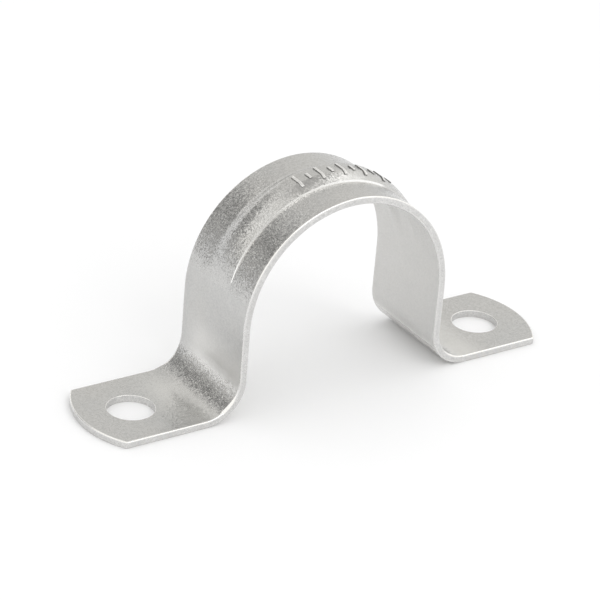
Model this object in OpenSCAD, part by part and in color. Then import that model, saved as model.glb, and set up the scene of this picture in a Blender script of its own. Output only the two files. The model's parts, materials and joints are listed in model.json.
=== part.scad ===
// Two-hole conduit strap, folded from one strip of sheet steel.
// X runs from foot to foot, Y along the conduit and Z up from the mounting surface.
// The origin lies on that surface, midway between the feet and the two edges.

/* [Sheet] */
// Width of the strip, along the conduit
strip_w = 25.4; // [18:0.1:40]
// Thickness of the sheet
sheet_t = 1.75; // [1:0.05:3]

/* [Saddle] */
// Inside radius of the arch that holds the conduit
saddle_r = 25.2; // [15:0.1:60]
// Angle above the horizontal at which the arch gives way to an easier curve
spring_a = 18; // [14:1:24]
// How much larger the radius of that easier curve is
spring_extra_r = 2.8; // [0.5:0.1:6]
// Length of the straight part of each leg
leg_len = 11.6; // [2:0.1:60]

/* [Feet] */
// Radius of the fold between a leg and the top of its foot
fold_r = 8.1; // [3:0.1:12]
// Distance from a leg's outer face to the centre of its screw hole
hole_reach = 20; // [19:0.05:30]
// Diameter of each screw hole
hole_d = 10.9; // [4:0.1:13]
// Distance from a screw hole's centre to the tip of the foot
tip_reach = 12.35; // [9:0.05:20]
// Radius of the arc that ends each foot
tip_r = 21.5; // [21:0.1:60]
// Radius of the corners where that arc meets the foot's edges
corner_r = 0.8; // [0.2:0.1:3]

/* [Rib] */
// Width of the stiffening rib
rib_w = 8.8; // [8:0.1:14]
// Height of the rib above the sheet, at the top of the arch
rib_h = 2.15; // [0.5:0.05:3]
// Angle above the horizontal at which the rib runs out, on each side
rib_end_a = 12; // [2:1:13]
// Radius across the rib's crown
rib_crown_r = 14; // [8:0.5:40]
// Radius of the rib's shoulders
rib_shoulder_r = 2.1; // [0.3:0.05:3.8]

/* [Hidden] */

$fn = 96;

// Centre of the right-hand spring arc, measured from the arch's own centre
spring_x = -spring_extra_r * cos(spring_a);
spring_z = -spring_extra_r * sin(spring_a);
spring_r = saddle_r + spring_extra_r;

leg_x = spring_x + spring_r;
fold_x = leg_x + sheet_t + fold_r;
fold_z = sheet_t + fold_r;
saddle_z = fold_z + leg_len - spring_z;
hole_x = leg_x + sheet_t + hole_reach;
tip_x = hole_x + tip_reach;

// The rib is turned about an axis above the arch's own, so that it stands
// highest at the top of the arch and sinks into the sheet at both ends
rib_lift = rib_h / (1 - sin(rib_end_a));
rib_axis_z = saddle_z + rib_lift;
rib_top_r = saddle_r + sheet_t + rib_h - rib_lift;

// The groove under the rib leaves the sheet its own thickness
groove_w = rib_w - 2 * sheet_t;
groove_top_r = rib_top_r - sheet_t;
groove_crown_r = rib_crown_r - sheet_t;
groove_least_r = 0.2;
groove_shoulder_r = max(rib_shoulder_r - sheet_t, groove_least_r);

// Length by which a cut runs past the surface that it opens
over = 1;

// Strip of width w along +X from start to tip, whose end is an arc of radius
// end_r that meets the two sides in corners of radius round_r
module arc_ended_strip(w, start, tip, end_r, round_r) {
    arc_x = tip - end_r;
    round_y = w / 2 - round_r;
    round_x = arc_x + sqrt(pow(end_r - round_r, 2) - pow(round_y, 2));
    touch_y = round_y * end_r / (end_r - round_r);
    translate([start, -w / 2]) square([round_x - start, w]);
    for (side = [-1, 1]) translate([round_x, side * round_y]) circle(r = round_r);
    intersection() {
        translate([arc_x, 0]) circle(r = end_r);
        translate([start, -touch_y]) square([tip + over - start, 2 * touch_y]);
    }
}

// The sheet bent to inner_r about the origin, from one angle to another that
// is at most a quarter turn away
module bent_sheet(inner_r, from_a, to_a) {
    reach = 2 * (inner_r + sheet_t);
    intersection() {
        difference() {
            circle(r = inner_r + sheet_t);
            circle(r = inner_r);
        }
        polygon([[0, 0], reach * [cos(from_a), sin(from_a)], reach * [cos(to_a), sin(to_a)]]);
    }
}

// Right half of the strap's edge view: arch, spring arc, leg, fold and foot
module half_edge_view() {
    translate([0, saddle_z]) bent_sheet(saddle_r, spring_a, 90);
    translate([spring_x, saddle_z + spring_z]) bent_sheet(spring_r, 0, spring_a);
    translate([leg_x, fold_z]) square([sheet_t, leg_len]);
    translate([fold_x, fold_z]) bent_sheet(fold_r, 180, 270);
    translate([fold_x, 0]) square([tip_x - fold_x, sheet_t]);
}

// The strip folded to shape, before its ends are trimmed
module folded_strip() {
    rotate([90, 0, 0]) linear_extrude(strip_w, center = true) {
        half_edge_view();
        mirror([1, 0]) half_edge_view();
    }
}

// Everything that lies within the trimmed outline, seen from above
module trimmed_outline() {
    for (turn = [0, 180]) rotate([0, 0, turn]) translate([0, 0, -over])
        linear_extrude(saddle_z + saddle_r + sheet_t + 2 * over)
            arc_ended_strip(strip_w, 0, tip_x, tip_r, corner_r);
}

// Half ring over the rib's axis, whose section is a strip of width w with a crowned edge
module crowned_ring(w, top_r, crown_r, shoulder_r) {
    translate([0, 0, rib_axis_z]) rotate([90, 0, 0]) rotate_extrude(angle = 180)
        arc_ended_strip(w, top_r / 2, top_r, crown_r, shoulder_r);
}

// The part of the rib that stands out of the arch, down to the middle of the sheet
module rib() {
    difference() {
        crowned_ring(rib_w, rib_top_r, rib_crown_r, rib_shoulder_r);
        translate([0, 0, saddle_z]) rotate([90, 0, 0])
            cylinder(r = saddle_r + sheet_t / 2, h = rib_w + 2 * over, center = true);
    }
}

// The hollow that the rib leaves on the inside of the arch
module groove() {
    crowned_ring(groove_w, groove_top_r, groove_crown_r, groove_shoulder_r);
}

// One screw hole
module screw_hole() {
    translate([0, 0, -over]) cylinder(d = hole_d, h = sheet_t + 2 * over);
}

module strap() {
    color("silver") difference() {
        union() {
            intersection() {
                folded_strip();
                trimmed_outline();
            }
            rib();
        }
        groove();
        for (side = [-1, 1]) translate([side * hole_x, 0, 0]) screw_hole();
    }
}

strap();
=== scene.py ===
import json
import math

import bpy
from bpy.props import FloatProperty, FloatVectorProperty, IntProperty, PointerProperty
from mathutils import Matrix, Vector


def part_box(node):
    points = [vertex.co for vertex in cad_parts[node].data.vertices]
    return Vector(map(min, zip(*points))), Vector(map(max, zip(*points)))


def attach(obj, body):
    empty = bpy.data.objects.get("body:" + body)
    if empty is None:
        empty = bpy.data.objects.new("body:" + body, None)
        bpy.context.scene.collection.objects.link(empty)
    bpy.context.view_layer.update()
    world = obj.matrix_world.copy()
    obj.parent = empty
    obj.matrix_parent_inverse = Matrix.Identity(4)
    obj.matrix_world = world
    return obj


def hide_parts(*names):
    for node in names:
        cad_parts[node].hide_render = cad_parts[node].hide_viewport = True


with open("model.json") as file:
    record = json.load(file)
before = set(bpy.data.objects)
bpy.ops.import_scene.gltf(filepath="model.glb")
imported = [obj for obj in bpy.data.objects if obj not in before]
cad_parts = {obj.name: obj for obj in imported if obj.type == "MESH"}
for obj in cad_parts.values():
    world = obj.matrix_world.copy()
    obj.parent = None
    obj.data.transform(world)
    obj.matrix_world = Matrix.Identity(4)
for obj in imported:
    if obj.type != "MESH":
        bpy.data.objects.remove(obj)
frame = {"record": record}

bl_info = {
    "name": "Two-hole conduit strap",
    "version": (1, 0, 0),
    "blender": (4, 5, 0),
    "location": "3D View > Sidebar > Strap",
    "description": "Models a folded sheet-steel strap for conduit, its plating and a plain studio",
    "category": "Object",
}

MM = 0.001
NEAR = 0.001 * MM

# Into how many parts each bend, a leg and a hole's rim are divided
ARCH_STEPS = 180
SPRING_STEPS = 24
FOLD_STEPS = 24
LEG_STEPS = 4
HOLE_STEPS = 96

# Width of the rib's front step, seen from above, and distance between rows across the rib
RIB_STEP_WIDTH = 0.12 * MM
RIB_ROW = 0.22 * MM

# The plain marks on the pad: their place across it, how deep they sit, and their lengths
MARK_MIDDLE = -0.75 * MM
MARK_SUNK = 0.15 * MM
MARK_ROUND = 0.09 * MM
LONG_MARK = 4.4 * MM
SHORT_MARK = 2.2 * MM

# Places of the strap's materials in its list; the rims' finish is a painted highlight
FACE, CUT, RIM = 0, 1, 2

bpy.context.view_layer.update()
STRAP_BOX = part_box("strap")
MOUNTS = {mount["name"]: mount for mount in frame["record"]["mounts"]}
SADDLE = MOUNTS["conduit_saddle"]
HOLES = MOUNTS["foot_holes"]


# ---------------------------------------------------------------- settings

def length(name, description, value, low=0.0, high=0.1):
    """A property for a length in metres, shown to a hundredth of a millimetre."""
    return FloatProperty(name=name, description=description, default=value,
                         min=low, max=high, precision=5, unit="LENGTH")


class StrapSizes(bpy.types.PropertyGroup):
    """Sizes of the folded sheet."""
    strip_width: length("Strip width", "Width of the strip, along the conduit",
                        2 * STRAP_BOX[1][1])
    sheet_thickness: length("Sheet thickness", "Thickness of the sheet", 1.75 * MM)
    half_length: length("Half length", "Distance from the middle to the tip of a foot",
                        STRAP_BOX[1][0])
    saddle_radius: length("Saddle radius", "Inside radius of the arch",
                          SADDLE["dims"]["r_mm"] * MM)
    saddle_height: length("Saddle height", "Height of the arch's centre",
                          SADDLE["pos_m"][2])
    spring_extra: length("Spring extra", "How much larger the radius of the spring arcs is",
                         2.8 * MM)
    spring_angle: FloatProperty(name="Spring angle", subtype="ANGLE",
                                description="Angle at which the spring arcs meet the arch",
                                default=math.radians(18))
    fold_radius: length("Fold radius", "Radius of the fold on top of a foot", 8.1 * MM)
    hole_x: length("Hole place", "Distance from the middle to the centre of a screw hole",
                   HOLES["dims"]["spacing_x_mm"] / 2 * MM)
    hole_radius: length("Hole radius", "Radius of a screw hole",
                        HOLES["dims"]["hole_r_mm"] * MM)
    tip_radius: length("Tip radius", "Radius of the arc that ends a foot", 21.5 * MM)
    corner_radius: length("Corner radius", "Radius of a foot's corners", 0.8 * MM)
    edge_round: length("Edge rounding", "Rounding that punching leaves on the cut edges",
                       0.3 * MM)
    hole_round: length("Hole rounding", "Rounding on the rims of the screw holes", 0.12 * MM)
    draw_in: length("Draw-in", "How far the rib draws each edge in at the top of the arch",
                    0.2 * MM)
    fold_flattening: length("Fold flattening",
                            "Extra width of the edge rounding where folding squeezed it",
                            0.5 * MM)


class RibSizes(bpy.types.PropertyGroup):
    """Sizes of the pressed rib and of the pad on its top."""
    half_width: length("Rib half width", "Half the width of the rib at its foot", 4.4 * MM)
    height: length("Rib height", "Height of the rib at the top of the arch", 2.15 * MM)
    end_angle: FloatProperty(name="Rib end", subtype="ANGLE",
                             description="Angle above the horizontal at which the rib runs out",
                             default=math.radians(12))
    peak_y: length("Rib peak", "How far the rib's top lies behind the middle of the strip",
                   0.5 * MM)
    rear_width: length("Rib rear width", "Distance from the middle to where the rear flank ends",
                       5.7 * MM)
    step: length("Rib step", "Height of the sharp step along the rib's front edge", 0.36 * MM)
    fullness: FloatProperty(name="Fullness", default=2.1, min=1.5, max=5.0,
                            description="Exponent of the rib's section: 2 is a parabola")
    pad_from: FloatProperty(name="Pad from", subtype="ANGLE", default=math.radians(50),
                            description="Angle at which the flattened pad begins")
    pad_to: FloatProperty(name="Pad to", subtype="ANGLE", default=math.radians(113),
                          description="Angle at which the flattened pad ends")
    pad_depth: length("Pad depth", "How far the rib's top is flattened", 0.3 * MM)
    mark_width: length("Mark width", "Width of each plain mark on the pad", 0.75 * MM)
    mark_height: length("Mark height", "Height of the plain marks on the pad", 0.24 * MM)
    mark_count: IntProperty(name="Marks", default=10, min=2, max=20,
                            description="Number of plain marks on the pad")


class PlatingFinish(bpy.types.PropertyGroup):
    """Colours of the plated sheet."""
    face_colour: FloatVectorProperty(name="Face", subtype="COLOR", size=3, min=0, max=1,
                                     description="Colour of the plated faces",
                                     default=(0.553, 0.548, 0.535))
    cool_colour: FloatVectorProperty(name="Cool patches", subtype="COLOR", size=3, min=0, max=1,
                                     description="Colour of the cooler patches",
                                     default=(0.530, 0.532, 0.528))
    edge_colour: FloatVectorProperty(name="Cut edge", subtype="COLOR", size=3, min=0, max=1,
                                     description="Colour of the cut edges",
                                     default=(0.66, 0.655, 0.645))
    roughness: FloatProperty(name="Roughness", default=0.18, min=0.05, max=1.0,
                             subtype="FACTOR", description="Roughness of the plated faces")


# ---------------------------------------------------------------- helpers

def deselect():
    """Leaves edit mode with nothing selected."""
    if bpy.context.mode != "OBJECT":
        bpy.ops.object.mode_set(mode="OBJECT")
    bpy.ops.object.select_all(action="DESELECT")


def make_active(piece):
    """Selects one piece alone."""
    deselect()
    piece.select_set(True)
    bpy.context.view_layer.objects.active = piece


def pick(piece, kind, test):
    """Goes to edit mode with those elements selected that pass the test."""
    make_active(piece)
    bpy.ops.object.mode_set(mode="EDIT")
    bpy.ops.mesh.select_mode(type=kind)
    bpy.ops.mesh.select_all(action="DESELECT")
    bpy.ops.object.mode_set(mode="OBJECT")
    mesh = piece.data
    elements = {"EDGE": mesh.edges, "FACE": mesh.polygons}[kind]
    for element in elements:
        element.select = bool(test(element))
    if not any(element.select for element in elements):
        raise RuntimeError("nothing was found to select on " + piece.name)
    bpy.ops.object.mode_set(mode="EDIT")


def ends(piece, edge):
    """The places of an edge's two ends."""
    return [piece.data.vertices[i].co for i in edge.vertices]


def apply_modifier(piece, name, kind, **settings):
    """Adds a modifier with these settings, and applies it."""
    make_active(piece)
    modifier = piece.modifiers.new(name, kind)
    for key, value in settings.items():
        setattr(modifier, key, value)
    bpy.ops.object.modifier_apply(modifier=modifier.name)


def push(piece, name, direction, distance, amount):
    """Moves each vertex by distance times the share that amount gives for its place."""
    if distance == 0:
        return
    group = piece.vertex_groups.new(name=name)
    for vertex in piece.data.vertices:
        share = amount(vertex.co, vertex.normal)
        if share > 0:
            group.add([vertex.index], min(share, 1.0), "REPLACE")
    apply_modifier(piece, name, "DISPLACE", direction=direction, strength=distance,
                   mid_level=0.0, vertex_group=group.name)
    piece.vertex_groups.remove(piece.vertex_groups[name])


def smooth_step(low, high, value):
    """0 below low, 1 above high and a smooth climb between them."""
    share = min(max((value - low) / (high - low), 0.0), 1.0)
    return share * share * (3 - 2 * share)


# ---------------------------------------------------------------- the strap

def strip_rows(sizes, rib):
    """Places across the strip at which its faces are divided, close where it curves."""
    front = -rib.half_width
    rows = [front, front + RIB_STEP_WIDTH]
    while rows[-1] + RIB_ROW < rib.rear_width + 0.2 * MM:
        rows.append(rows[-1] + RIB_ROW)
    outer = sizes.strip_width / 2
    rows += [front - 0.35 * MM, front - 0.9 * MM, front - 1.8 * MM, front - 3.4 * MM,
             -outer + 2.2 * MM, -outer + 0.9 * MM]
    rows += [rib.rear_width + 1.0 * MM, rib.rear_width + 2.4 * MM, outer - 2.2 * MM,
             outer - 0.9 * MM]
    return sorted(rows)


def fold_half_strip(sizes, rib):
    """The outer face of the right half: foot, fold, leg, spring arc and arch."""
    thickness = sizes.sheet_thickness
    fold_z = thickness + sizes.fold_radius
    spring_r = sizes.saddle_radius + sizes.spring_extra
    spring_x = -sizes.spring_extra * math.cos(sizes.spring_angle)
    spring_z = sizes.saddle_height - sizes.spring_extra * math.sin(sizes.spring_angle)
    leg_x = spring_x + spring_r + thickness
    fold_x = leg_x + sizes.fold_radius
    foot = sizes.half_length - fold_x

    deselect()
    bpy.ops.mesh.primitive_plane_add(size=1, location=(fold_x + foot / 2, 0, thickness))
    piece = bpy.context.object
    piece.name = "strap_sheet"
    piece.scale = (foot, sizes.strip_width, 1)
    bpy.ops.object.transform_apply(location=True, rotation=True, scale=True)

    make_active(piece)
    bpy.ops.object.mode_set(mode="EDIT")
    for row in strip_rows(sizes, rib):
        bpy.ops.mesh.select_all(action="SELECT")
        bpy.ops.mesh.bisect(plane_co=(0, row, 0), plane_no=(0, 1, 0), threshold=1e-7)

    def pick_row(x, z):
        pick(piece, "EDGE", lambda e: all(
            abs(c.x - x) < NEAR and abs(c.z - z) < NEAR for c in ends(piece, e)))

    def spin(x, z, angle, steps):
        bpy.ops.mesh.spin(steps=steps, angle=angle, center=(x, 0, z), axis=(0, 1, 0))

    pick_row(fold_x, thickness)
    spin(fold_x, fold_z, -math.radians(90), FOLD_STEPS)
    pick_row(leg_x, fold_z)
    for _ in range(LEG_STEPS):
        bpy.ops.mesh.extrude_region_move(
            TRANSFORM_OT_translate={"value": (0, 0, (spring_z - fold_z) / LEG_STEPS)})
    pick_row(leg_x, spring_z)
    spin(spring_x, spring_z, sizes.spring_angle, SPRING_STEPS)
    arch_r = sizes.saddle_radius + thickness
    pick_row(arch_r * math.cos(sizes.spring_angle),
             sizes.saddle_height + arch_r * math.sin(sizes.spring_angle))
    spin(0, sizes.saddle_height, math.radians(90) - sizes.spring_angle, ARCH_STEPS)
    bpy.ops.object.mode_set(mode="OBJECT")
    return piece, fold_x


def make_whole_sheet(piece, sizes):
    """Mirrors the half, turns the faces outwards and gives the sheet its thickness."""
    apply_modifier(piece, "Other half", "MIRROR", use_axis=(True, False, False),
                   use_mirror_merge=True, merge_threshold=NEAR)
    make_active(piece)
    bpy.ops.object.mode_set(mode="EDIT")
    bpy.ops.mesh.select_all(action="SELECT")
    bpy.ops.mesh.remove_doubles(threshold=NEAR)
    bpy.ops.mesh.normals_make_consistent(inside=False)
    bpy.ops.object.mode_set(mode="OBJECT")
    top = max(piece.data.polygons, key=lambda face: face.center.z)
    if top.normal.z < 0:
        bpy.ops.object.mode_set(mode="EDIT")
        bpy.ops.mesh.select_all(action="SELECT")
        bpy.ops.mesh.flip_normals()
        bpy.ops.object.mode_set(mode="OBJECT")
    apply_modifier(piece, "Sheet", "SOLIDIFY", thickness=sizes.sheet_thickness,
                   offset=-1.0, use_even_offset=True, use_rim=True)


def cut_feet(piece, sizes, fold_x):
    """Cuts the arcs that end the feet, and punches the screw holes."""
    thickness = sizes.sheet_thickness
    for side in (-1, 1):
        for level in (0, thickness):
            pick(piece, "FACE", lambda f: side * f.center.x > fold_x
                 and abs(f.center.z - level) < NEAR and abs(f.normal.z) > 0.9)
            bpy.ops.mesh.dissolve_faces(use_verts=True)
            bpy.ops.object.mode_set(mode="OBJECT")

    # The disc is divided so that no corner of it falls beside a corner of the foot
    arc_x = sizes.half_length - sizes.tip_radius
    corner_turns = math.asin(sizes.strip_width / 2 / sizes.tip_radius) / math.tau
    divisions = next(n for n in range(144, 400, 4) if 0.55 < (corner_turns * n) % 1 < 0.9)
    cutters = []
    for side in (-1, 1):
        deselect()
        depth = 4 * thickness
        reach = sizes.tip_radius + 6 * MM
        bpy.ops.mesh.primitive_cube_add(
            size=1, location=(side * (arc_x + sizes.tip_radius / 2 + reach / 2), 0, 0))
        block = bpy.context.object
        block.scale = (reach, 2 * reach, depth)
        bpy.ops.object.transform_apply(location=True, rotation=True, scale=True)
        deselect()
        bpy.ops.mesh.primitive_cylinder_add(vertices=divisions, radius=sizes.tip_radius,
                                            depth=2 * depth, location=(side * arc_x, 0, 0))
        disc = bpy.context.object
        bpy.ops.object.transform_apply(location=True, rotation=True, scale=True)
        apply_modifier(block, "Arc", "BOOLEAN", operation="DIFFERENCE", object=disc,
                       solver="EXACT")
        bpy.data.objects.remove(disc)
        cutters.append(block)
        deselect()
        bpy.ops.mesh.primitive_cylinder_add(vertices=HOLE_STEPS, radius=sizes.hole_radius,
                                            depth=depth, location=(side * sizes.hole_x, 0, 0))
        punch = bpy.context.object
        bpy.ops.object.transform_apply(location=True, rotation=True, scale=True)
        cutters.append(punch)
    for cutter in cutters:
        apply_modifier(piece, "Cut", "BOOLEAN", operation="DIFFERENCE", object=cutter,
                       solver="EXACT")
        bpy.data.objects.remove(cutter)

    half_width = sizes.strip_width / 2
    corner_x = arc_x + math.sqrt(sizes.tip_radius ** 2 - half_width ** 2)
    turn = math.acos(half_width / sizes.tip_radius)
    pick(piece, "EDGE", lambda e: all(
        abs(abs(c.x) - corner_x) < 0.05 * MM and abs(abs(c.y) - half_width) < 10 * NEAR
        for c in ends(piece, e)) and abs(ends(piece, e)[0].z - ends(piece, e)[1].z) > thickness / 2)
    bpy.ops.mesh.bevel(offset=sizes.corner_radius * math.tan(turn / 2), segments=6,
                       affect="EDGES")
    bpy.ops.object.mode_set(mode="OBJECT")


def is_cut_face(face, sizes, fold_x):
    """Whether a face was made by shearing or punching."""
    if abs(face.normal.y) > 0.9 and abs(face.center.y) > sizes.strip_width / 2 - 0.05 * MM:
        return True
    return abs(face.center.x) > fold_x and abs(face.normal.z) < 0.2


def round_cut_edges(piece, sizes, fold_x):
    """Rounds the edges of every cut face, gives these faces their own finish and paints a highlight
    on the rims.
    """
    for face in piece.data.polygons:
        face.material_index = CUT if is_cut_face(face, sizes, fold_x) else FACE

    def in_hole(edge):
        reach = sizes.hole_radius + 0.05 * MM
        return all(math.hypot(abs(c.x) - sizes.hole_x, c.y) < reach for c in ends(piece, edge))

    for hole, offset in ((False, sizes.edge_round), (True, sizes.hole_round)):
        finishes = {}
        for face in piece.data.polygons:
            for key in face.edge_keys:
                finishes.setdefault(key, set()).add(face.material_index)
        pick(piece, "EDGE", lambda e: finishes[e.key] == {FACE, CUT} and in_hole(e) == hole)
        bpy.ops.mesh.bevel(offset=offset, segments=3, profile=0.5, affect="EDGES",
                           clamp_overlap=False, loop_slide=True, material=RIM)
        bpy.ops.object.mode_set(mode="OBJECT")


def arch_place(place, sizes):
    """Angle about the arch's centre, and height above the arch's outer face."""
    rise = place.z - sizes.saddle_height
    angle = math.atan2(rise, place.x)
    return angle, math.hypot(place.x, rise) - sizes.saddle_radius - sizes.sheet_thickness


def rib_rise(angle, sizes, rib):
    """Height of the rib at an angle, as a share of its height at the top."""
    lift = 1 / (1 - math.sin(rib.end_angle))
    return max(0.0, 1 - lift * (1 - math.sin(angle)))


def rib_section(y, height, rib):
    """Height of the rib's outer face: a crowned front over a sharp step, and an easy rear."""
    if y < rib.peak_y:
        step = min(rib.step, 0.5 * height)
        share = (rib.peak_y - y) / (rib.peak_y + rib.half_width)
        if share >= 1:
            return 0.0
        crowned = step + (height - step) * (1 - share ** rib.fullness)
        return crowned * min((y + rib.half_width) / RIB_STEP_WIDTH, 1.0)
    share = min((y - rib.peak_y) / (rib.rear_width - rib.peak_y), 1.0)
    return height * (0.5 + 0.5 * math.cos(math.pi * share ** 1.12))


def groove_section(y, rib):
    """The groove's section on the inside, with an easy mouth."""
    return 1 - smooth_step(1.5 * MM, rib.half_width, abs(y))


def pad_share(angle, rib):
    """1 on the flattened pad, 0 beyond its two ends."""
    soft = math.radians(0.9)
    return (smooth_step(rib.pad_from - 5 * soft, rib.pad_from + 5 * soft, angle)
            * (1 - smooth_step(rib.pad_to - soft, rib.pad_to, angle)))


def press_rib(piece, sizes, rib):
    """Pushes the rib out of the arch, with the groove under it."""
    reach = 0.1 * MM

    def on_arch(angle):
        return rib.end_angle - 0.1 < angle < math.pi - rib.end_angle + 0.1

    def outside(place, normal):
        angle, above = arch_place(place, sizes)
        if not on_arch(angle) or abs(above) > reach:
            return 0.0
        rise = rib_rise(angle, sizes, rib)
        height = rib_section(place.y, rib.height * rise, rib)
        pad = pad_share(angle, rib)
        if pad > 0:
            height = min(height, rib.height * rise - rib.pad_depth * pad)
        return height / rib.height

    def inside(place, normal):
        angle, above = arch_place(place, sizes)
        if not on_arch(angle) or abs(above + sizes.sheet_thickness) > reach:
            return 0.0
        return rib_rise(angle, sizes, rib) * groove_section(place.y, rib)

    push(piece, "Rib", "NORMAL", rib.height, outside)
    push(piece, "Groove", "NORMAL", -rib.height, inside)
    finish_step(piece, sizes, rib)


def finish_step(piece, sizes, rib):
    """The step along the rib's front takes the rims' painted highlight, and crisp edges."""
    low, high = -rib.half_width, -rib.half_width + RIB_STEP_WIDTH
    outer = sizes.saddle_radius + sizes.sheet_thickness

    def above(place):
        rise = place.z - sizes.saddle_height
        return math.hypot(place.x, rise) > outer - 0.05 * MM and rise > 0.3 * outer

    # The step's faces get the rim finish, a painted highlight
    for face in piece.data.polygons:
        if low < face.center.y < high and above(face.center):
            face.material_index = RIM
    pick(piece, "EDGE", lambda e: any(
        all(abs(c.y - line) < 10 * NEAR and above(c) for c in ends(piece, e))
        for line in (low, high)))
    bpy.ops.mesh.mark_sharp()
    bpy.ops.object.mode_set(mode="OBJECT")


def draw_edges(piece, sizes, fold_x):
    """Edges draw in over the crown, and are flattened where the fold squeezed them."""
    half = sizes.strip_width / 2
    low = sizes.saddle_height / 2
    high = sizes.saddle_height + sizes.saddle_radius
    fold_z = sizes.sheet_thickness + sizes.fold_radius

    def crown(side):
        return lambda place, normal: max(side * place.y / half, 0.0) * min(
            max((place.z - low) / (high - low), 0.0), 1.0)

    def fold(side):
        def share(place, normal):
            x, z = fold_x - abs(place.x), fold_z - place.z
            if x < -1.5 * MM or z < -1.5 * MM:
                return 0.0
            depth = (math.hypot(x, z) - sizes.fold_radius) / sizes.sheet_thickness
            if depth > 0.12 or side * place.y < half - 1.3 * sizes.edge_round:
                return 0.0
            turn = math.degrees(math.atan2(z, x))
            worn = smooth_step(22, 36, 90 - turn) * (1 - smooth_step(42, 72, 90 - turn))
            return worn * (1 - max(depth, 0.0) / 0.12)
        return share

    for side in (-1, 1):
        push(piece, "Draw-in", "Y", -side * sizes.draw_in, crown(side))
        push(piece, "Flattening", "Y", -side * sizes.fold_flattening, fold(side))


def mark_layout(rib):
    """Angle and length of each plain mark along the pad, every second one short."""
    first = rib.pad_to - math.radians(7)
    last = rib.pad_from + math.radians(4)
    pitch = (first - last) / (rib.mark_count - 1)
    return [(first - number * pitch, SHORT_MARK if number % 2 else LONG_MARK)
            for number in range(rib.mark_count)]


def stamp_marks(strap, sizes, rib, finishes):
    """Low bars across the pad: each is laid on the rib, given its thickness and rounded."""
    out = sizes.saddle_radius + sizes.sheet_thickness + 2 * rib.height
    thickness = rib.mark_height + MARK_SUNK
    marks = []
    for angle, long in mark_layout(rib):
        deselect()
        bpy.ops.mesh.primitive_grid_add(x_subdivisions=3, y_subdivisions=12, size=1)
        mark = bpy.context.object
        bpy.ops.object.mode_set(mode="EDIT")
        bpy.ops.mesh.select_all(action="SELECT")
        bpy.ops.transform.resize(value=(rib.mark_width, long, 1))
        bpy.ops.object.mode_set(mode="OBJECT")
        mark.location = (out * math.cos(angle), MARK_MIDDLE,
                         sizes.saddle_height + out * math.sin(angle))
        mark.rotation_euler = (0, math.pi / 2 - angle, 0)
        bpy.context.view_layer.update()
        apply_modifier(mark, "Lay on", "SHRINKWRAP", target=strap, wrap_method="PROJECT",
                       use_project_z=True, use_positive_direction=False,
                       use_negative_direction=True)
        apply_modifier(mark, "Thickness", "SOLIDIFY", thickness=thickness,
                       offset=2 * rib.mark_height / thickness - 1)
        apply_modifier(mark, "Rounding", "BEVEL", width=MARK_ROUND, segments=2,
                       limit_method="ANGLE", angle_limit=math.radians(50),
                       use_clamp_overlap=False)
        marks.append(mark)
    deselect()
    for mark in marks:
        mark.select_set(True)
    bpy.context.view_layer.objects.active = marks[0]
    bpy.ops.object.transform_apply(location=True, rotation=True, scale=True)
    bpy.ops.object.join()
    piece = marks[0]
    piece.name = "stamped_marks"
    for finish in finishes:
        piece.data.materials.append(finish)
    # Painted light: faces turned outwards take the painted highlight, the sides the painted shade
    for face in piece.data.polygons:
        away = face.center - Vector((0, face.center.y, sizes.saddle_height))
        face.material_index = 0 if face.normal.dot(away.normalized()) > 0.6 else 1
    return piece


def shade(piece):
    """Smooth faces, sharp only where the surface turns a corner."""
    make_active(piece)
    bpy.ops.object.shade_smooth_by_angle(angle=math.radians(32), keep_sharp_edges=True)
    apply_modifier(piece, "Even faces", "WEIGHTED_NORMAL", mode="FACE_AREA", weight=60,
                   keep_sharp=True)


# ---------------------------------------------------------------- finishes

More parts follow.
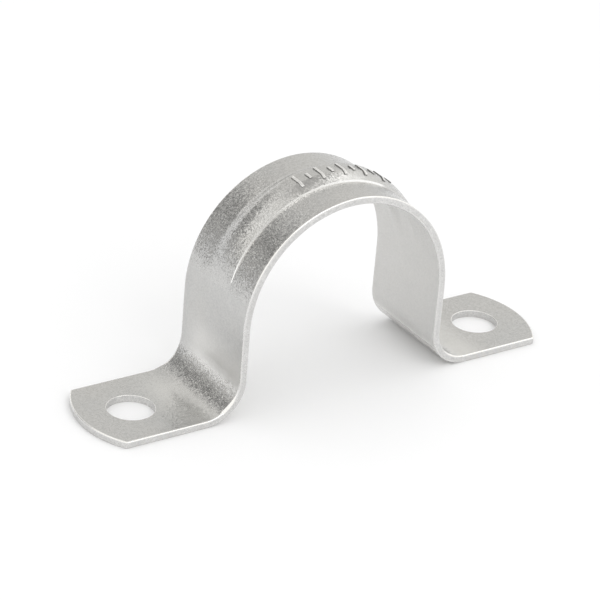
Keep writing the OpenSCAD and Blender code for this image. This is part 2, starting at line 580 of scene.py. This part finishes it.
class Nodes:
    """Short hand for building a node tree."""

    def __init__(self, owner):
        self.owner = owner
        owner.use_nodes = True
        self.tree = owner.node_tree
        self.tree.nodes.clear()

    def add(self, kind, inputs=None, **settings):
        node = self.tree.nodes.new(kind)
        for key, value in settings.items():
            setattr(node, key, value)
        for key, value in (inputs or {}).items():
            self.put(node.inputs[key], value)
        return node

    def put(self, socket, value):
        """Links another node's result to a socket, or sets a plain value on it."""
        if isinstance(value, bpy.types.NodeSocket):
            self.tree.links.new(value, socket)
        else:
            socket.default_value = value

    @property
    def place(self):
        """Place on the piece, in metres."""
        return self.add("ShaderNodeTexCoord").outputs["Object"]

    def parts(self, vector):
        """The three parts of a vector."""
        split = self.add("ShaderNodeSeparateXYZ", {0: vector}).outputs
        return split["X"], split["Y"], split["Z"]

    def noise(self, place, scale, detail, roughness):
        """Soft noise, with about as many waves in a metre as scale says."""
        return self.add("ShaderNodeTexNoise", {
            "Vector": place, "Scale": scale, "Detail": detail,
            "Roughness": roughness}).outputs["Fac"]

    def crystals(self, place, scale):
        """A random colour for each small crystal."""
        return self.add("ShaderNodeTexVoronoi", {
            "Vector": place, "Scale": scale, "Randomness": 1.0}).outputs["Color"]

    def spread(self, value, low, high, to_low, to_high):
        """Brings the range from low to high to another range, in a straight line."""
        return self.add("ShaderNodeMapRange", {
            "Value": value, "From Min": low, "From Max": high,
            "To Min": to_low, "To Max": to_high}).outputs["Result"]

    def math(self, operation, a, b=0.0):
        return self.add("ShaderNodeMath", {0: a, 1: b}, operation=operation).outputs[0]

    def hypot(self, a, b):
        return self.math("SQRT", self.math("ADD", self.math("MULTIPLY", a, a),
                                           self.math("MULTIPLY", b, b)))

    def vector(self, operation, a, b=(0, 0, 0), output="Vector"):
        return self.add("ShaderNodeVectorMath", {0: a, 1: b},
                        operation=operation).outputs[output]

    def scale(self, vector, factor):
        return self.add("ShaderNodeVectorMath", {0: vector, "Scale": factor},
                        operation="SCALE").outputs["Vector"]

    def soft(self, value, low, high, to_low=0.0, to_high=1.0):
        """Brings the range from low to high to another range, in a smooth climb."""
        return self.add("ShaderNodeMapRange", {
            "Value": value, "From Min": low, "From Max": high,
            "To Min": to_low, "To Max": to_high},
            interpolation_type="SMOOTHSTEP").outputs["Result"]

    @property
    def normal(self):
        """The surface's own normal."""
        return self.add("ShaderNodeNewGeometry").outputs["Normal"]

    def facets(self, colour, tilt):
        """The surface's normal, tilted a little at random from one crystal to the next."""
        random = self.vector("SUBTRACT", colour, (0.5, 0.5, 0.5))
        return self.vector("NORMALIZE",
                           self.vector("ADD", self.normal, self.scale(random, tilt)))

    def bump(self, height, distance, strength, normal=None):
        """The normal, roughened by a height."""
        node = self.add("ShaderNodeBump", {"Strength": strength, "Distance": distance,
                                           "Height": height})
        if normal:
            self.put(node.inputs["Normal"], normal)
        return node.outputs["Normal"]

    def blend(self, factor, a, b):
        """A number between a and b."""
        return self.add("ShaderNodeMix", {0: factor, 2: a, 3: b},
                        data_type="FLOAT").outputs[0]

    def mix(self, factor, a, b):
        """A colour between a and b."""
        node = self.add("ShaderNodeMix", data_type="RGBA")
        self.put(node.inputs[0], factor)
        self.put(node.inputs[6], a)
        self.put(node.inputs[7], b)
        return node.outputs[2]


def rgba(colour, scale=1.0):
    """A colour made brighter or darker, as a node wants it."""
    return (colour[0] * scale, colour[1] * scale, colour[2] * scale, 1.0)


def finish_metal(n, colour, rough, normal):
    """Ends a material's nodes as metal, a little veiled by its plating."""
    shader = n.add("ShaderNodeBsdfPrincipled", {
        "Base Color": colour, "Metallic": 0.84, "Roughness": rough, "Normal": normal})
    output = n.add("ShaderNodeOutputMaterial")
    n.put(output.inputs["Surface"], shader.outputs[0])
    return n.owner


def painted_light_zones(n, x, y, z, sizes, fold_x):
    """Where light is painted on the sheet, over its shade and dark reflections.

    Returns the painted light, and 1 on the outer face and 0 on the inner one."""
    rise = n.math("MAXIMUM", n.math("SUBTRACT", z, sizes.saddle_height), 0.0)
    outer = n.soft(n.hypot(x, rise), sizes.saddle_radius + 0.7 * MM,
                   sizes.saddle_radius + 1.3 * MM)
    wide = n.math("ABSOLUTE", x)

    # Painted light on the legs' lower ends and on the feet next to them, most at the front, lifting
    # the shade and dark reflections there
    heel = n.math("MULTIPLY", n.soft(z, 3.6 * MM, 7 * MM), n.soft(z, 10 * MM, 19 * MM, 1.0, 0.0))
    toe = n.math("MULTIPLY", n.soft(z, 2.2 * MM, 2.9 * MM, 0.65, 0.0),
                 n.soft(wide, 36 * MM, 43 * MM, 1.0, 0.0))
    fold_painted_light = n.math("MULTIPLY", n.math("ADD", heel, toe), n.soft(y, 3 * MM, 13 * MM, 1.0, 0.0))
    fold_painted_light = n.math("MULTIPLY", fold_painted_light, n.soft(y, -10 * MM, -3 * MM, 1.25, 1.0))

    # Painted light on the outside of the folds, over the shade under them, and on the whole inside
    # of the arch
    fold_z = sizes.sheet_thickness + sizes.fold_radius
    bend = n.hypot(n.math("MAXIMUM", n.math("SUBTRACT", fold_x, wide), 0.0),
                   n.math("MAXIMUM", n.math("SUBTRACT", fold_z, z), 0.0))
    under = n.math("MULTIPLY", n.soft(bend, sizes.fold_radius + 0.6 * MM, fold_z - 0.6 * MM),
                   n.soft(z, 5 * MM, 10 * MM, 0.75, 0.0))
    painted_bright = n.math("MAXIMUM", n.math("MULTIPLY", n.math("SUBTRACT", 1.0, outer), 0.47), under)
    painted_light = n.math("ADD", n.math("MULTIPLY", n.math("MULTIPLY", fold_painted_light, outer), 0.9), painted_bright)
    return painted_light, outer


def plated_face(finish, sizes, fold_x):
    """Satin zinc plating on the sheet's rolled faces: fine grain, soft clouds, faint sparkle."""
    n = Nodes(bpy.data.materials.new("satin_zinc_plating"))
    place = n.place
    x, y, z = n.parts(place)
    clouds = n.noise(place, 55, 3, 0.55)
    mottle = n.noise(place, 420, 3, 0.6)
    grain = n.noise(place, 2900, 2, 0.6)
    fine = n.noise(place, 8000, 1, 0.5)
    crystals = n.crystals(place, 3300)
    colour = n.mix(n.spread(clouds, 0.35, 0.65, 0.0, 1.0), rgba(finish.face_colour),
                   rgba(finish.cool_colour))
    sparkle = n.add("ShaderNodeSeparateColor", {"Color": crystals}).outputs["Red"]
    speckle = n.math("ADD", n.math("MULTIPLY", grain, 0.5), n.math("MULTIPLY", sparkle, 0.5))
    colour = n.mix(n.spread(speckle, 0.25, 0.75, 0.0, 0.4), colour,
                   rgba(finish.face_colour, 1.3))

    # Bending opened the grain, most on the shoulders and in the folds
    sideways, _, upwards = n.parts(n.normal)
    slope = n.math("ABSOLUTE", n.math("MULTIPLY", sideways, upwards))
    bends = n.soft(slope, 0.2, 0.44)
    specks = n.noise(place, 4300, 2, 0.6)
    shift = n.math("MULTIPLY", bends, n.spread(specks, 0.3, 0.7, -0.32, 0.34))
    colour = n.scale(colour, n.math("ADD", shift, 1.0))

    # Painted light brightens the sheet in places, over shade and dark reflections; handling wore
    # its edges, unevenly
    painted_light, outer = painted_light_zones(n, x, y, z, sizes, fold_x)
    half = sizes.strip_width / 2
    worn = n.math("MULTIPLY", n.soft(n.math("ABSOLUTE", y), half - 1.3 * MM, half - 0.3 * MM),
                  n.spread(mottle, 0.4, 0.6, 0.0, 1.0))
    colour = n.mix(painted_light, colour, rgba(finish.face_colour, 1.4))
    colour = n.mix(n.math("MULTIPLY", worn, 0.2), colour, rgba(finish.edge_colour))

    # The grain stays smooth on the legs and on the inside
    leg = n.math("MULTIPLY", n.soft(z, 6.5 * MM, 9.5 * MM), n.soft(z, 23 * MM, 31 * MM, 1.0, 0.0))
    calm = n.math("MAXIMUM", leg, n.math("SUBTRACT", 1.0, outer))
    calmed = n.spread(calm, 0.0, 1.0, 1.0, 0.5)
    patches = n.math("ADD", n.math("MULTIPLY", clouds, 0.4), n.math("MULTIPLY", mottle, 0.6))
    rough = n.spread(patches, 0.3, 0.7, finish.roughness - 0.05, finish.roughness + 0.07)
    rough = n.math("ADD", rough, n.math("MULTIPLY", calm, 0.27))
    tilt = n.math("MULTIPLY", calmed, n.spread(bends, 0.0, 1.0, 0.2, 0.27))
    height = n.math("ADD", n.math("MULTIPLY", grain, 0.7), n.math("MULTIPLY", fine, 0.3))
    height = n.math("MULTIPLY", height, calmed)
    normal = n.bump(height, 0.06 * MM, 0.9, n.facets(crystals, tilt))
    return finish_metal(n, colour, rough, normal)


def bare_metal(name, colour, level):
    """Sheared metal: brighter and rougher than the faces, with fine broken grain. Its level also
    paints the marks' lit tops and shaded sides.
    """
    n = Nodes(bpy.data.materials.new(name))
    place = n.place
    grain = n.noise(place, 3000, 2, 0.65)
    patches = n.noise(place, 300, 3, 0.6)
    base = n.mix(n.spread(grain, 0.35, 0.65, 0.0, 1.0), rgba(colour, 0.84 * level),
                 rgba(colour, 1.16 * level))
    base = n.mix(n.spread(patches, 0.4, 0.62, 0.0, 0.5), base, rgba(colour, 0.9 * level))
    rough = n.spread(patches, 0.3, 0.7, 0.28, 0.4)
    normal = n.bump(grain, 0.08 * MM, 0.8, n.facets(n.crystals(place, 3600), 0.4))
    return finish_metal(n, base, rough, normal)


def burnished_rim(finish, sizes, rib):
    """Painted highlight on the rims, brightest where they face up and along the rib's front."""
    n = Nodes(bpy.data.materials.new("burnished_rim"))
    place = n.place
    x, y, z = n.parts(place)
    grain = n.noise(place, 1200, 3, 0.6)
    _, _, upwards = n.parts(n.normal)
    # Painted highlight: rims that face up are lighter
    colour = n.mix(n.soft(upwards, 0.1, 0.5), rgba(finish.edge_colour, 1.08),
                   rgba(finish.edge_colour, 1.44))
    # Painted highlight along the rib's front step, toned to the face's colour on the right
    from_step = n.math("ABSOLUTE", n.math("ADD", y, rib.half_width))
    step = n.math("MULTIPLY", n.math("LESS_THAN", from_step, 0.6 * MM),
                  n.math("GREATER_THAN", z, sizes.saddle_height))
    colour = n.mix(step, colour, rgba(finish.edge_colour, 1.46))
    faded = n.math("MULTIPLY", step, n.soft(x, 12 * MM, 14 * MM))
    colour = n.mix(faded, colour, rgba(finish.face_colour, 1.1))
    rough = n.spread(grain, 0.3, 0.7, 0.2, 0.3)
    return finish_metal(n, colour, rough, n.bump(grain, 0.04 * MM, 0.3))


# ---------------------------------------------------------------- operators

class STRAP_OT_fold(bpy.types.Operator):
    """Model the folded strap with its rib, holes and plating"""
    bl_idname = "strap.fold"
    bl_label = "Folded strap"

    def execute(self, context):
        sizes = context.scene.strap_sizes
        rib = context.scene.rib_sizes
        finish = context.scene.plating_finish
        piece, fold_x = fold_half_strip(sizes, rib)
        make_whole_sheet(piece, sizes)
        cut_feet(piece, sizes, fold_x)
        for material in (plated_face(finish, sizes, fold_x),
                         bare_metal("plated_cut_edge", finish.edge_colour, 1.0),
                         burnished_rim(finish, sizes, rib)):
            piece.data.materials.append(material)
        round_cut_edges(piece, sizes, fold_x)
        press_rib(piece, sizes, rib)
        draw_edges(piece, sizes, fold_x)
        shade(piece)
        if not 1000 < len(piece.data.polygons) < 120000:
            raise RuntimeError("the strap's mesh came out with %d faces" % len(piece.data.polygons))
        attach(piece, "root")
        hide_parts("strap")
        return {"FINISHED"}


class STRAP_OT_marks(bpy.types.Operator):
    """Model the low bars that are stamped on the rib's pad"""
    bl_idname = "strap.marks"
    bl_label = "Stamped marks"

    def execute(self, context):
        edge_colour = context.scene.plating_finish.edge_colour
        # Painted highlight for the marks' tops and painted shade for their sides, both from the cut
        # edges' colour
        painted_bright = bare_metal("rubbed_marks", edge_colour, 1.3)
        painted_dark = bare_metal("dull_mark_sides", edge_colour, 0.4)
        piece = stamp_marks(bpy.data.objects["strap_sheet"], context.scene.strap_sizes,
                            context.scene.rib_sizes, (painted_bright, painted_dark))
        shade(piece)
        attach(piece, "root")
        return {"FINISHED"}


# ---------------------------------------------------------------- the stage

# Measured on the photograph: where the camera stood, what it aimed at and its lens
CAMERA_AZIMUTH = math.radians(-35.251)
CAMERA_ELEVATION = math.radians(27.775)
CAMERA_ROLL = math.radians(4.904)
CAMERA_DISTANCE = 0.640233
CAMERA_TARGET = (0.0, 0.0, 0.02286)
CAMERA_ASIDE = (0.0036247, 0.0041871)
CAMERA_LENS = 170.087


def add_camera(context):
    """The camera at the photograph's own place and angle."""
    sin_a, cos_a = math.sin(CAMERA_AZIMUTH), math.cos(CAMERA_AZIMUTH)
    sin_e, cos_e = math.sin(CAMERA_ELEVATION), math.cos(CAMERA_ELEVATION)
    back = Vector((sin_a * cos_e, -cos_a * cos_e, sin_e))
    right = Vector((cos_a, sin_a, 0))
    up = back.cross(right)
    cos_r, sin_r = math.cos(CAMERA_ROLL), math.sin(CAMERA_ROLL)
    across = right * cos_r + up * sin_r
    upward = up * cos_r - right * sin_r
    place = (Vector(CAMERA_TARGET) + back * CAMERA_DISTANCE
             - across * CAMERA_ASIDE[0] - upward * CAMERA_ASIDE[1])
    turn = Matrix((across, upward, back)).transposed().to_4x4()
    deselect()
    bpy.ops.object.camera_add()
    camera = context.object
    camera.matrix_world = Matrix.Translation(place) @ turn
    camera.data.sensor_width = 36.0
    camera.data.lens = CAMERA_LENS
    camera.data.clip_start = 0.01
    camera.data.clip_end = 20.0
    context.scene.camera = camera


# Name, direction, distance, width and strength in watts of each soft lamp
LAMPS = (("key", (0.62, -0.05, 0.78), 0.7, 0.26, 0.17),
         ("fill", (0.1, -0.72, 0.69), 0.9, 0.66, 1.3))


def add_lamp(context, name, direction, distance, width, watts):
    """A round soft light that faces the object from a direction."""
    aim = Vector((0, 0, 0.02))
    towards = Vector(direction).normalized()
    deselect()
    bpy.ops.object.light_add(type="AREA", location=aim + towards * distance)
    lamp = context.object
    lamp.name = name
    lamp.rotation_euler = towards.to_track_quat("Z", "Y").to_euler()
    lamp.data.shape = "DISK"
    lamp.data.size = width
    lamp.data.energy = watts


# Brightness that the plating mirrors on the left and behind, by the angle in degrees up
# from -X about the Y axis: a studio's own dark side, as the strap in the photograph has it
LEFT_SIDE = ((-14, 0.70), (-2, 0.37), (8, 0.36), (18, 0.42), (28, 0.35), (38, 0.17),
             (48, 0.05), (58, 0.20), (68, 0.45), (78, 0.60), (90, 0.70), (137, 0.83))
ELSEWHERE = 1.05

# Where that dark side lies along Y, and how far from there it begins and ends to fade
LEFT_SIDE_Y = 0.74
LEFT_SIDE_FADE = (0.08, 0.30)

# Darker patches of the studio: direction, angles at which each begins and ends to fade, level
OVERHEAD = ((0.19, 0.12, 0.974), 11, 30, 0.45)
IN_FRONT = ((0.0, -0.906, 0.42), 12, 28, 0.6)


def dark_patch(n, direction, patch):
    """Brightness of a darker patch of the studio, and 1 outside it."""
    centre, inner, outer, level = patch
    near = n.vector("DOT_PRODUCT", direction, centre, "Value")
    return n.soft(near, math.cos(math.radians(outer)), math.cos(math.radians(inner)), 1.0, level)


def studio_world(context):
    """A white studio. What the metal mirrors of it darkens softly on one side and above."""
    world = bpy.data.worlds.new("studio")
    context.scene.world = world
    n = Nodes(world)
    direction = n.add("ShaderNodeTexCoord").outputs["Generated"]
    x, y, z = n.parts(direction)

    angle = n.math("ARCTAN2", z, n.math("MULTIPLY", x, -1.0))
    first, last = LEFT_SIDE[0][0], LEFT_SIDE[-1][0]
    ramp = n.add("ShaderNodeValToRGB", {
        0: n.spread(angle, math.radians(first), math.radians(last), 0.0, 1.0)})
    stops = ramp.color_ramp.elements
    while len(stops) < len(LEFT_SIDE):
        stops.new(0.5)
    for stop, (degrees, level) in zip(stops, LEFT_SIDE):
        stop.position = (degrees - first) / (last - first)
        stop.color = (level, level, level, 1)
    from_side = n.math("ABSOLUTE", n.math("SUBTRACT", y, LEFT_SIDE_Y))
    on_side = n.soft(from_side, *LEFT_SIDE_FADE, 1.0, 0.0)
    mirrored = n.blend(on_side, ELSEWHERE, ramp.outputs["Color"])
    for patch in (OVERHEAD, IN_FRONT):
        mirrored = n.math("MULTIPLY", mirrored, dark_patch(n, direction, patch))

    rays = n.add("ShaderNodeLightPath").outputs
    glossy = n.math("MAXIMUM", rays["Is Glossy Ray"], rays["Is Transmission Ray"])
    strength = n.blend(rays["Is Camera Ray"], n.blend(glossy, 1.0, mirrored), 1.0)
    colour = n.mix(n.math("MULTIPLY", glossy, n.soft(z, 0.0, 0.25)), (1, 1, 1, 1),
                   (1.0, 0.988, 0.955, 1))
    background = n.add("ShaderNodeBackground", {"Color": colour, "Strength": strength})
    n.add("ShaderNodeOutputWorld", {"Surface": background.outputs[0]})


def add_floor():
    """A pale floor, which keeps the strap's shadow."""
    deselect()
    bpy.ops.mesh.primitive_plane_add(size=1.3, location=(0, 0, 0))
    floor = bpy.context.object
    floor.name = "floor"
    n = Nodes(bpy.data.materials.new("studio_floor"))
    shader = n.add("ShaderNodeBsdfDiffuse", {"Color": (0.93, 0.93, 0.93, 1.0)})
    n.add("ShaderNodeOutputMaterial", {"Surface": shader.outputs[0]})
    floor.data.materials.append(n.owner)


class STRAP_OT_stage(bpy.types.Operator):
    """Add the camera, the soft studio light and the pale floor"""
    bl_idname = "strap.stage"
    bl_label = "Studio"

    def execute(self, context):
        context.scene.view_settings.view_transform = "Standard"
        add_camera(context)
        studio_world(context)
        for lamp in LAMPS:
            add_lamp(context, *lamp)
        add_floor()
        return {"FINISHED"}


class STRAP_PT_panel(bpy.types.Panel):
    """Sizes, finish and pieces of the strap"""
    bl_label = "Conduit strap"
    bl_idname = "STRAP_PT_panel"
    bl_space_type = "VIEW_3D"
    bl_region_type = "UI"
    bl_category = "Strap"

    def draw(self, context):
        layout = self.layout
        for title, group in (("Sheet", context.scene.strap_sizes),
                             ("Rib", context.scene.rib_sizes),
                             ("Plating", context.scene.plating_finish)):
            box = layout.box()
            box.label(text=title)
            for name in group.__annotations__:
                box.prop(group, name)
        for operator in (STRAP_OT_fold, STRAP_OT_marks, STRAP_OT_stage):
            layout.operator(operator.bl_idname)


CLASSES = (StrapSizes, RibSizes, PlatingFinish, STRAP_OT_fold, STRAP_OT_marks,
           STRAP_OT_stage, STRAP_PT_panel)


def register():
    for item in CLASSES:
        bpy.utils.register_class(item)
    bpy.types.Scene.strap_sizes = PointerProperty(type=StrapSizes)
    bpy.types.Scene.rib_sizes = PointerProperty(type=RibSizes)
    bpy.types.Scene.plating_finish = PointerProperty(type=PlatingFinish)


def unregister():
    del bpy.types.Scene.plating_finish
    del bpy.types.Scene.rib_sizes
    del bpy.types.Scene.strap_sizes
    for item in reversed(CLASSES):
        bpy.utils.unregister_class(item)


def main():
    register()
    bpy.ops.strap.fold()
    bpy.ops.strap.marks()
    bpy.ops.strap.stage()


if __name__ == "__main__":
    main()
